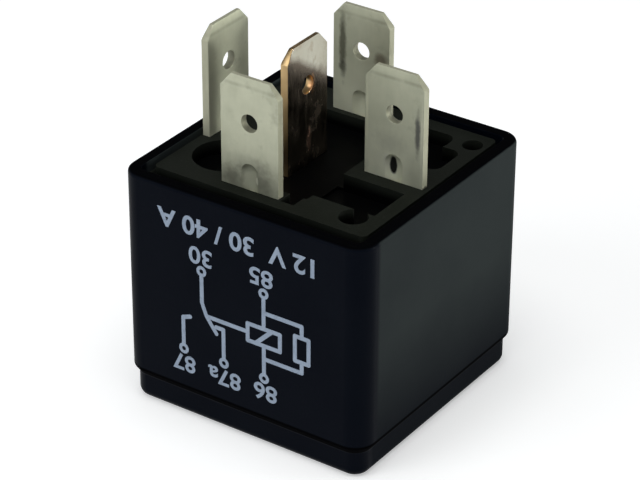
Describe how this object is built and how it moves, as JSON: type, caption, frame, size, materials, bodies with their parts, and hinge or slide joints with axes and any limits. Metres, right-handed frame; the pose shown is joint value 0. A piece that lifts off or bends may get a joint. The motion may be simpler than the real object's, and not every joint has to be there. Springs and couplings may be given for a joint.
{
  "type": "automotive relay",
  "caption": "Cube-shaped plug-in changeover relay with flat blades, a stepped case and a hinged armature inside.",
  "frame": {"origin": "centre of the closed end's outer face, on the surface that the relay stands on", "axes": "+Z runs from the closed end towards the blade tips; -Y is the printed face; +X is the side of the common terminal"},
  "size_m": [0.027, 0.027, 0.0352],
  "materials": {
    "case_plastic": "satin black moulded nylon",
    "plate_plastic": "matte grey moulded nylon",
    "tinned_brass": "tin plate with a warm tone",
    "bare_brass": "dull tinned copper alloy, darker",
    "contact_silver": "satin silver alloy",
    "spring_bronze": "satin bronze strip",
    "magnet_steel": "zinc plated soft iron",
    "bobbin_plastic": "natural nylon",
    "copper": "enamelled copper wire",
    "resistor_coat": "lacquered ceramic",
    "tinned_wire": "tinned wire",
    "spring_steel": "drawn spring wire",
    "white_ink": "matte pad-printed ink"
  },
  "bodies": {
    "frame": {"case": "case_plastic", "base_plate": "plate_plastic", "terminal_30": "tinned_brass", "terminal_85": "tinned_brass", "terminal_86": "tinned_brass", "terminal_87": "tinned_brass", "terminal_87a": "bare_brass", "make_contact": "contact_silver", "break_contact": "contact_silver", "yoke": "magnet_steel", "core": "magnet_steel", "bobbin": "bobbin_plastic", "coil_winding": "copper", "coil_lead_start": "copper", "coil_lead_end": "copper", "resistor_body": "resistor_coat", "resistor_leads": "tinned_wire", "return_spring": "spring_steel", "braid": "copper", "wiring_print": "white_ink"},
    "armature": {"armature": "magnet_steel", "contact_spring": "spring_bronze", "spring_rivets": "magnet_steel", "moving_contact": "contact_silver"}
  },
  "joints": [
    {"name": "armature_hinge", "type": "hinge", "parent": "frame", "child": "armature", "pos_m": [0.0098, 0, 0.00632], "axis": [0, 1, 0], "range_deg": [0, 2.5], "stiffness_Nm_per_rad": 0.02, "springref_deg": -17.19, "deforming": ["return_spring", "braid"]}
  ]
}
